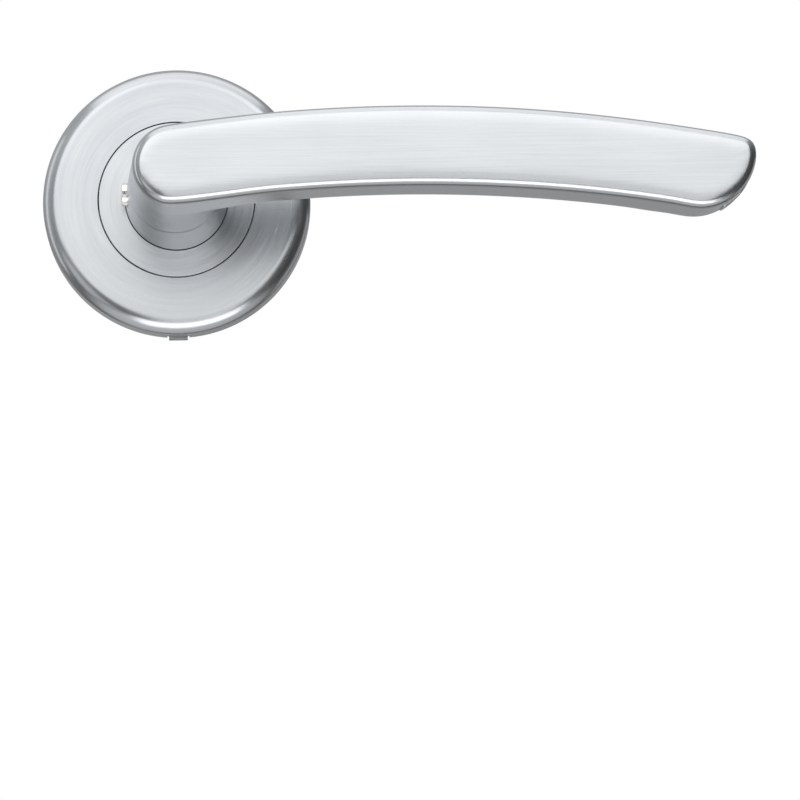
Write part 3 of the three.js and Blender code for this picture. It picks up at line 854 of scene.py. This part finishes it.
def back_plate(steel):
    bore, rim = HUB_RADIUS + FIT, SEAT_RADIUS - FIT
    piece = turned(
        "back_plate",
        [
            (0, bore, 0.1),
            (0, rim, 0.12),
            (BACK_PLATE_THICKNESS, rim, 0.1),
            (BACK_PLATE_THICKNESS, bore, 0.1),
        ],
    )
    front = BACK_PLATE_THICKNESS + PAST
    head_front = BACK_SCREW_HEAD_DEPTH + FIT / 2
    tools = []
    for angle in BACK_SCREW_ANGLES:
        x, z = on_circle(BACK_SCREW_CIRCLE, angle)
        tools.append(rod(-PAST, front, BACK_SCREW_RADIUS + FIT, x, z, sides=32))
        tools.append(rod(-PAST, head_front, BACK_SCREW_HEAD_RADIUS + FIT, x, z, sides=48))
    cut(piece, *tools)
    return finish(piece, "back_plate", "rose_base", steel)


def back_plate_screws(steel):
    """One screw is made on the spindle axis and copied to its three places."""
    first = rod(0, BACK_SCREW_HEAD_DEPTH, BACK_SCREW_HEAD_RADIUS)
    round_edges(first, 0.12)
    inside_head = BACK_SCREW_HEAD_DEPTH / 2
    shank = rod(
        inside_head,
        BACK_SCREW_LENGTH,
        BACK_SCREW_RADIUS,
        end_radius=BACK_SCREW_TIP_RADIUS,
        sides=32,
    )
    join(first, shank)
    half = BACK_SCREW_SLOT / 2
    cut(first, block((-half, half), (-PAST, inside_head), (-2 * PAST, 2 * PAST)))
    for i, angle in enumerate(BACK_SCREW_ANGLES):
        pick(first)
        bpy.ops.object.duplicate(linked=False)
        piece = bpy.context.object
        edit_all_of(piece)
        x, z = on_circle(BACK_SCREW_CIRCLE, angle)
        move(x=x, z=z)
        bpy.ops.object.mode_set(mode="OBJECT")
        finish(piece, f"back_plate_screw_{i + 1}", "rose_base", steel)
    bpy.data.objects.remove(first)


# ---------------------------------------------------------------- spring, driver and ring

SPRING_RADIUS = 9.9
WIRE_RADIUS = 0.6
SPRING_TURNS = 1.25
SPRING_START = 96.5
SPRING_REAR = 1.9
SPRING_FRONT = 3.6
SPRING_BEND_ANGLE = 9
SPRING_BEND_RADIUS = 11.4
DRIVER_REAR = 4.5
DRIVER_FRONT = 5.4
FINGER_ANGLES = (103, 117)
FINGER_RADIUS = 12.35
FINGER_INNER_RADIUS = 11.1
FINGER_REAR = 1.6
KEY_INSET = 0.05  # keeps the keys off the flat faces of the plate
RING_RADIUS = 9.3
RING_HALF_OPENING = 17
RING_EAR_RADIUS = 1.1
RING_EAR_HOLE = 0.5
RING_EAR_ANGLE = 23
RING_EAR_INSET = 0.2
RING_EAR_SHY = 0.03  # keeps the ears off the flat faces of the ring


def return_spring(steel):
    """Round wire wound a turn and a quarter, with both ends bent outward."""
    bend = SPRING_BEND_ANGLE
    start, end = SPRING_START, SPRING_START + SPRING_TURNS * 360
    reach = FINGER_RADIUS - FIT / 2
    points = [(reach, start, SPRING_REAR), (SPRING_BEND_RADIUS, start, SPRING_REAR)]
    steps = 90
    for i in range(steps + 1):
        angle = start + bend + (end - start - 2 * bend) * i / steps
        share = (angle - start) / (end - start)
        out = SPRING_REAR + (SPRING_FRONT - SPRING_REAR) * share
        points.append((SPRING_RADIUS, angle, out))
    points += [(SPRING_BEND_RADIUS, end, SPRING_FRONT), (reach, end, SPRING_FRONT)]
    wire = bpy.data.curves.new("return_spring", "CURVE")
    wire.dimensions = "3D"
    wire.bevel_depth = WIRE_RADIUS * MM
    wire.bevel_resolution = 5
    wire.use_fill_caps = True
    wire.resolution_u = 3
    line = wire.splines.new("NURBS")
    line.points.add(len(points) - 1)
    line.order_u = 4
    line.use_endpoint_u = True
    for point, (radius, angle, out) in zip(line.points, points):
        x, z = on_circle(radius, angle)
        point.co = (x * MM, -out * MM, z * MM, 1)
    piece = bpy.data.objects.new("return_spring", wire)
    bpy.context.scene.collection.objects.link(piece)
    pick(piece)
    bpy.ops.object.convert(target="MESH")
    piece = bpy.context.object
    edit_all_of(piece)
    bpy.ops.mesh.remove_doubles(threshold=0.001 * MM)
    bpy.ops.mesh.normals_make_consistent(inside=False)
    bpy.ops.object.mode_set(mode="OBJECT")
    return finish(piece, "return_spring", "rose_base", steel)


def stop_buffers(nylon):
    """A pad on the inner side of each stop, where the driver's finger meets it."""
    upper_end = STOP_ANGLES[0][0] - BUFFER_GAP_ANGLE
    lower_start = STOP_ANGLES[1][1] + BUFFER_GAP_ANGLE
    places = {
        "upper": (upper_end - BUFFER_ANGLE, upper_end),
        "lower": (lower_start, lower_start + BUFFER_ANGLE),
    }
    radii = (STOP_RADIUS, HOUSING_RADIUS - FIT)
    for name, angles in places.items():
        piece = sector(name, radii, (STOP_REAR, DRIVER_REAR - FIT), angles)
        round_edges(piece, 0.1)
        finish(piece, f"stop_buffer_{name}", "rose_base", nylon)


def drive_plate(steel):
    bore = HUB_RADIUS + FIT
    rim = SPRING_RADIUS + WIRE_RADIUS + FIT / 2
    piece = turned(
        "drive_plate",
        [
            (DRIVER_REAR, bore, 0.1),
            (DRIVER_REAR, rim, 0.1),
            (DRIVER_FRONT, rim, 0.1),
            (DRIVER_FRONT, bore, 0.1),
        ],
    )
    outs = (DRIVER_REAR, DRIVER_FRONT)
    finger_outs = (FINGER_REAR, DRIVER_REAR + FIT)
    key_outs = (DRIVER_REAR + KEY_INSET, DRIVER_FRONT - KEY_INSET)
    key_width = (FIT - KEYWAY_HALF_WIDTH, KEYWAY_HALF_WIDTH - FIT)
    key_tip, key_root = KEYWAY_FLOOR + FIT, bore + 0.5
    join(
        piece,
        sector("arm", (rim - FIT, FINGER_RADIUS), outs, FINGER_ANGLES),
        sector("finger", (FINGER_INNER_RADIUS, FINGER_RADIUS), finger_outs, FINGER_ANGLES),
        block(key_width, key_outs, (key_tip, key_root)),
        block(key_width, key_outs, (-key_root, -key_tip)),
    )
    return finish(piece, "drive_plate", "lever", steel)


def retaining_ring(steel):
    """An open ring with two drilled ears, in the groove at the rear of the hub."""
    rear, front = -FIT - RING_THICKNESS, -FIT
    angles = (RING_HALF_OPENING - 90, 270 - RING_HALF_OPENING)
    radii = (RING_GROOVE_RADIUS + FIT, RING_RADIUS)
    piece = sector("ring", radii, (rear, front), angles, steps=120)
    round_edges(piece, 0.08)
    for side in (1, -1):
        x, z = on_circle(RING_RADIUS - RING_EAR_INSET, -90 + side * RING_EAR_ANGLE)
        ear = rod(rear + RING_EAR_SHY, front - RING_EAR_SHY, RING_EAR_RADIUS, x, z, sides=48)
        join(piece, ear)
        cut(piece, rod(-2 * PAST, PAST / 2, RING_EAR_HOLE, x, z, sides=32))
    return finish(piece, "retaining_ring", "lever", steel)


# ---------------------------------------------------------------- finishes


class Recipe:
    """A node material being put together."""

    def __init__(self, name, colour, roughness, metallic=1.0):
        self.material = bpy.data.materials.new(name)
        self.material.use_nodes = True
        self.tree = self.material.node_tree
        self.shader = self.tree.nodes["Principled BSDF"]
        self.shader.inputs["Base Color"].default_value = (*colour, 1)
        self.shader.inputs["Roughness"].default_value = roughness
        self.shader.inputs["Metallic"].default_value = metallic
        self.place = self.add("ShaderNodeTexCoord").outputs["Object"]

    def add(self, kind, inputs=None, **settings):
        node = self.tree.nodes.new(kind)
        for key, value in settings.items():
            setattr(node, key, value)
        for key, value in (inputs or {}).items():
            self.put(node.inputs[key], value)
        return node

    def put(self, socket, value):
        if isinstance(value, bpy.types.NodeSocket):
            self.tree.links.new(value, socket)
        else:
            socket.default_value = value

    def maths(self, operation, first, second=0.0):
        node = self.add("ShaderNodeMath", {0: first, 1: second}, operation=operation)
        return node.outputs[0]

    def stretched(self, source, amounts):
        """The place, stretched by an amount along each axis."""
        return self.add(
            "ShaderNodeVectorMath", {0: source, 1: amounts}, operation="MULTIPLY"
        ).outputs["Vector"]

    def noise(self, source, detail=2.0, scale=1.0):
        node = self.add("ShaderNodeTexNoise", {"Vector": source, "Scale": scale, "Detail": detail})
        return node.outputs["Fac"]

    def spread(self, value, low, high, from_low=0.3, from_high=0.7):
        """A noise value spread between two limits."""
        node = self.add(
            "ShaderNodeMapRange", {0: value, 1: from_low, 2: from_high, 3: low, 4: high}
        )
        return node.outputs[0]

    def blend(self, share, first, second):
        node = self.add("ShaderNodeMix", {0: share, 2: first, 3: second}, data_type="FLOAT")
        return node.outputs[0]

    def tint(self, share, first, second):
        """Colour of the surface, between two colours by a share."""
        node = self.add("ShaderNodeMix", data_type="RGBA")
        self.put(node.inputs[0], share)
        node.inputs[6].default_value = (*first, 1)
        node.inputs[7].default_value = (*second, 1)
        self.put(self.shader.inputs["Base Color"], node.outputs[2])

    def rough(self, value):
        self.put(self.shader.inputs["Roughness"], value)

    def relief(self, height, depth, strength=1.0):
        """Bump from a height value; the depth is in millimetres."""
        bump = self.add(
            "ShaderNodeBump", {"Height": height, "Strength": strength, "Distance": depth * MM}
        )
        self.put(self.shader.inputs["Normal"], bump.outputs[0])

    def brushed_round(self, amount, turn):
        """Stretches the reflections along or across circles about the spindle."""
        self.shader.inputs["Anisotropic"].default_value = amount
        self.shader.inputs["Anisotropic Rotation"].default_value = turn
        tangent = self.add("ShaderNodeTangent", direction_type="RADIAL", axis="Y")
        self.put(self.shader.inputs["Tangent"], tangent.outputs[0])

    def turned_place(self, across, around):
        """Coordinates for lines that run round the spindle axis."""
        parts = self.add("ShaderNodeSeparateXYZ", {0: self.place}).outputs
        flat = self.add("ShaderNodeCombineXYZ", {0: parts[0], 2: parts[2]}).outputs[0]
        radius = self.add("ShaderNodeVectorMath", {0: flat}, operation="LENGTH").outputs["Value"]
        heading = self.add("ShaderNodeVectorMath", {0: flat}, operation="NORMALIZE").outputs[0]
        sides = self.add("ShaderNodeSeparateXYZ", {0: heading}).outputs
        depth = self.maths("ADD", radius, parts[1])
        lines = self.maths("MULTIPLY", depth, across)
        return self.add(
            "ShaderNodeCombineXYZ",
            {
                0: lines,
                1: self.maths("MULTIPLY", sides[0], around),
                2: self.maths("MULTIPLY", sides[2], around),
            },
        ).outputs[0]


STEEL = (0.57, 0.585, 0.60)
STEEL_DULL = (0.47, 0.485, 0.505)
# The lever's darkest tone, for its random dark streaks and for the painted shade on the neck.
STEEL_DARK_STREAK_AND_SHADE = (0.42, 0.435, 0.455)
GRIP_BRUSH_X = (6, 14)  # the brushing turns from round the neck to along the grip between these, where the neck's painted shade ends
GRIP_BRUSH_OUT = (44, 52)


def satin_turned():
    """Stainless steel brushed in circles on a spinning jig."""
    recipe = Recipe("satin_steel_turned", STEEL, 0.3)
    fine = recipe.noise(recipe.turned_place(2600, 1.5), detail=2)
    broad = recipe.noise(recipe.turned_place(520, 0.8), detail=1.5)
    cloud = recipe.noise(recipe.stretched(recipe.place, (60, 60, 60)), detail=2)
    lines = recipe.blend(0.65, fine, broad)
    recipe.tint(recipe.spread(recipe.blend(0.3, lines, cloud), 0, 1, 0.35, 0.62), STEEL_DULL, STEEL)
    recipe.rough(recipe.spread(recipe.blend(0.35, lines, cloud), 0.2, 0.29))
    recipe.relief(fine, 0.0003)
    recipe.brushed_round(0.55, 0.25)
    return recipe.material


def satin_lever():
    """Stainless steel brushed along the grip and round the neck, painted darker on the neck as
    painted shade.
    """
    recipe = Recipe("satin_steel_lever", STEEL, 0.3)
    along = recipe.noise(recipe.stretched(recipe.place, (60, 8000, 8000)), detail=2)
    around = recipe.noise(recipe.stretched(recipe.place, (90, 8000, 90)), detail=2)
    parts = recipe.add("ShaderNodeSeparateXYZ", {0: recipe.place}).outputs
    past_neck = recipe.spread(parts[0], 0, 1, *(x * MM for x in GRIP_BRUSH_X))
    past_elbow = recipe.spread(parts[1], 0, 1, *(-out * MM for out in GRIP_BRUSH_OUT))
    on_grip = recipe.maths("MAXIMUM", past_neck, past_elbow)
    lines = recipe.blend(on_grip, around, along)
    cloud = recipe.noise(recipe.stretched(recipe.place, (45, 90, 90)), detail=3)
    # Painted shade: the grip's tone is lifted by this step, so the neck is painted darker, standing
    # in for the dark reflections round it.
    painted_shade_step = recipe.maths("MULTIPLY", on_grip, 0.35)
    tone = recipe.maths("ADD", recipe.blend(0.5, lines, cloud), painted_shade_step)
    recipe.tint(recipe.spread(tone, 0, 1, 0.3, 0.95), STEEL_DARK_STREAK_AND_SHADE, STEEL)
    recipe.rough(recipe.spread(recipe.blend(0.4, lines, cloud), 0.20, 0.28))
    recipe.relief(lines, 0.0008)
    recipe.brushed_round(0.4, 0)
    return recipe.material


def machined_steel():
    """Bright turned steel of the hub and the pressed parts."""
    recipe = Recipe("machined_steel", (0.5, 0.5, 0.5), 0.36)
    lines = recipe.noise(recipe.turned_place(5000, 2), detail=3)
    cloud = recipe.noise(recipe.stretched(recipe.place, (160, 160, 160)), detail=4)
    recipe.tint(recipe.spread(cloud, 0, 1), (0.40, 0.40, 0.41), (0.56, 0.56, 0.55))
    recipe.rough(recipe.spread(recipe.blend(0.5, lines, cloud), 0.26, 0.46))
    recipe.relief(lines, 0.006)
    return recipe.material


def bare_cut_glint_steel():
    """Freshly cut steel at the edge of the grub screw hole, painted brighter and warmer than steel
    as a painted glint.
    """
    recipe = Recipe("bare_cut_glint_steel", (0.78, 0.75, 0.70), 0.22)
    cloud = recipe.noise(recipe.stretched(recipe.place, (900, 900, 900)))
    recipe.tint(cloud, (0.74, 0.71, 0.66), (0.86, 0.83, 0.78))
    recipe.rough(recipe.spread(cloud, 0.18, 0.3))
    return recipe.material


def black_oxide():
    """Oiled black oxide on screws and the retaining ring."""
    recipe = Recipe("black_oxide", (0.05, 0.05, 0.055), 0.4, metallic=0.85)
    cloud = recipe.noise(recipe.stretched(recipe.place, (700, 700, 700)), detail=4)
    recipe.tint(recipe.spread(cloud, 0, 1), (0.035, 0.035, 0.04), (0.10, 0.10, 0.105))
    recipe.rough(recipe.spread(cloud, 0.3, 0.5))
    recipe.relief(cloud, 0.006)
    return recipe.material


def zinc_casting():
    """Die cast zinc with its fine orange skin."""
    recipe = Recipe("zinc_casting", (0.42, 0.43, 0.44), 0.5, metallic=0.9)
    skin = recipe.noise(recipe.stretched(recipe.place, (1400, 1400, 1400)), detail=3)
    cloud = recipe.noise(recipe.stretched(recipe.place, (90, 90, 90)), detail=4)
    recipe.tint(recipe.spread(cloud, 0, 1), (0.36, 0.37, 0.38), (0.50, 0.51, 0.52))
    recipe.rough(recipe.spread(recipe.blend(0.5, skin, cloud), 0.42, 0.6))
    recipe.relief(skin, 0.02)
    return recipe.material


def black_nylon():
    """Moulded nylon with a slight grain."""
    recipe = Recipe("black_nylon", (0.03, 0.03, 0.032), 0.5, metallic=0.0)
    grain = recipe.noise(recipe.stretched(recipe.place, (2500, 2500, 2500)), detail=2)
    recipe.tint(recipe.spread(grain, 0, 1), (0.022, 0.022, 0.024), (0.042, 0.042, 0.045))
    recipe.rough(recipe.spread(grain, 0.42, 0.58))
    recipe.relief(grain, 0.01)
    return recipe.material


# ---------------------------------------------------------------- studio


ROOM_DARK = 0.08
ROOM_LIGHT = 0.6
ROOM_RANGE = (-0.3, 0.75)
ROOM_COLOUR = (0.97, 0.985, 1.0, 1)
LIGHT_HEADING = (-0.45, 0.1, 0.88)


def make_room():
    """A room that is dark below and light above; the camera itself sees plain white."""
    scene = bpy.context.scene
    scene.view_settings.view_transform = "Standard"
    world = bpy.data.worlds.new("studio")
    world.use_nodes = True
    scene.world = world
    tree = world.node_tree
    room = tree.nodes["Background"]
    heading = tree.nodes.new("ShaderNodeTexCoord")
    towards_light = tree.nodes.new("ShaderNodeVectorMath")
    towards_light.operation = "DOT_PRODUCT"
    towards_light.inputs[1].default_value = LIGHT_HEADING
    ramp = tree.nodes.new("ShaderNodeMapRange")
    for socket, value in zip(ramp.inputs[1:5], (*ROOM_RANGE, ROOM_DARK, ROOM_LIGHT)):
        socket.default_value = value
    tree.links.new(heading.outputs["Generated"], towards_light.inputs[0])
    tree.links.new(towards_light.outputs["Value"], ramp.inputs[0])
    tree.links.new(ramp.outputs[0], room.inputs["Strength"])
    room.inputs["Color"].default_value = ROOM_COLOUR
    white = tree.nodes.new("ShaderNodeBackground")
    white.inputs["Color"].default_value = (1, 1, 1, 1)
    path = tree.nodes.new("ShaderNodeLightPath")
    mix = tree.nodes.new("ShaderNodeMixShader")
    tree.links.new(path.outputs["Is Camera Ray"], mix.inputs[0])
    tree.links.new(room.outputs[0], mix.inputs[1])
    tree.links.new(white.outputs[0], mix.inputs[2])
    tree.links.new(mix.outputs[0], tree.nodes["World Output"].inputs["Surface"])


def make_lights():
    """Softboxes in metres: their place, what they face, width, height and brightness."""
    # In front: a strip at the handle's own height, a large panel above it and a skirt below it.
    softbox("front", (0.0, -1.25, 0.085), (0.0, 0, 0.085), 1.8, 0.27, 1.1)
    softbox("high", (0.0, -1.25, 0.71), (0.0, 0, 0.71), 1.8, 0.98, 1.36)
    softbox("skirt", (0.12, -1.0, -0.38), (0.12, 0, -0.38), 0.55, 0.66, 1.0)
    # Above, behind and on both sides.
    softbox("top", (0.0, -0.45, 1.25), (0.0, -0.45, 0), 1.8, 1.6, 0.8)
    softbox("behind", (0.1, 1.0, -0.1), (0.1, 0, -0.1), 0.9, 0.9, 0.2)
    softbox("back_right", (1.1, 0.75, -0.35), (0, 0, 0), 0.8, 0.9, 0.4)
    softbox("left_low", (-0.85, -0.85, -0.55), (0, 0, 0), 0.7, 0.6, 0.6)
    softbox("left", (-1.0, 0.1, 0.1), (0, -0.03, 0), 0.35, 1.2, 0.75)
    # A small one below the handle lights its underside.
    softbox("low", (0.06, -0.28, -0.46), (0.06, -0.05, 0), 0.5, 0.36, 1.6)


def softbox(name, place, target, width, height, brightness):
    """A rectangular light; its brightness is what a mirror would show."""
    light = bpy.data.lights.new(name, "AREA")
    light.shape = "RECTANGLE"
    light.size = width
    light.size_y = height
    light.energy = brightness * math.pi * width * height
    lamp = bpy.data.objects.new(name, light)
    aim = Vector(target) - Vector(place)
    turn = aim.to_track_quat("-Z", "Y").to_matrix().to_4x4()
    lamp.matrix_world = Matrix.Translation(place) @ turn
    lamp.visible_camera = False
    bpy.context.scene.collection.objects.link(lamp)


FLOOR_RADIUS = 0.9
FLOOR_PLACE = (0.04, 0, -0.6)
FLOOR_FADE = (0.45, 0.85)  # it thins out between these radii


def make_floor():
    """A pale round floor under the handle that fades out at its rim."""
    nothing_selected()
    bpy.ops.mesh.primitive_circle_add(
        vertices=96, radius=FLOOR_RADIUS, location=FLOOR_PLACE, fill_type="NGON"
    )
    floor = start_piece("floor")
    bpy.ops.object.mode_set(mode="OBJECT")
    recipe = Recipe("pale_floor", (0.86, 0.86, 0.86), 0.6, metallic=0.0)
    parts = recipe.add("ShaderNodeSeparateXYZ", {0: recipe.place}).outputs
    flat = recipe.add("ShaderNodeCombineXYZ", {0: parts[0], 1: parts[1]}).outputs[0]
    reach = recipe.add("ShaderNodeVectorMath", {0: flat}, operation="LENGTH").outputs["Value"]
    recipe.put(recipe.shader.inputs["Alpha"], recipe.spread(reach, 1, 0, *FLOOR_FADE))
    floor.data.materials.append(recipe.material)


# ---------------------------------------------------------------- assembly

make_camera()
make_room()
make_lights()
make_floor()

turned_finish = satin_turned()
lever_finish = satin_lever()
steel_finish = machined_steel()
# Bare cut steel with a painted glint, for the grub screw and the edge of its hole.
cut_and_glint_finish = bare_cut_glint_steel()
black_finish = black_oxide()
cast_finish = zinc_casting()
nylon_finish = black_nylon()

lever_shell(lever_finish, cut_and_glint_finish)
tip_plug(lever_finish)
grub_screw(cut_and_glint_finish)
rose_cover(turned_finish)
bearing_collar(turned_finish)
spindle_hub(steel_finish)
sub_rose(cast_finish)
bearing_bush(nylon_finish)
cover_clips(steel_finish)
back_plate(steel_finish)
back_plate_screws(black_finish)
return_spring(steel_finish)
stop_buffers(nylon_finish)
drive_plate(steel_finish)
retaining_ring(black_finish)

CAD_FINISHES = {
    "satin_steel": turned_finish,
    "plain_steel": steel_finish,
    "dark_steel": black_finish,
    "cast_base": cast_finish,
    "nylon": nylon_finish,
}
for name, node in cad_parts.items():
    slot = node.data.materials[0].name if node.data.materials else "plain_steel"
    node.data.materials.clear()
    node.data.materials.append(CAD_FINISHES.get(slot, steel_finish))
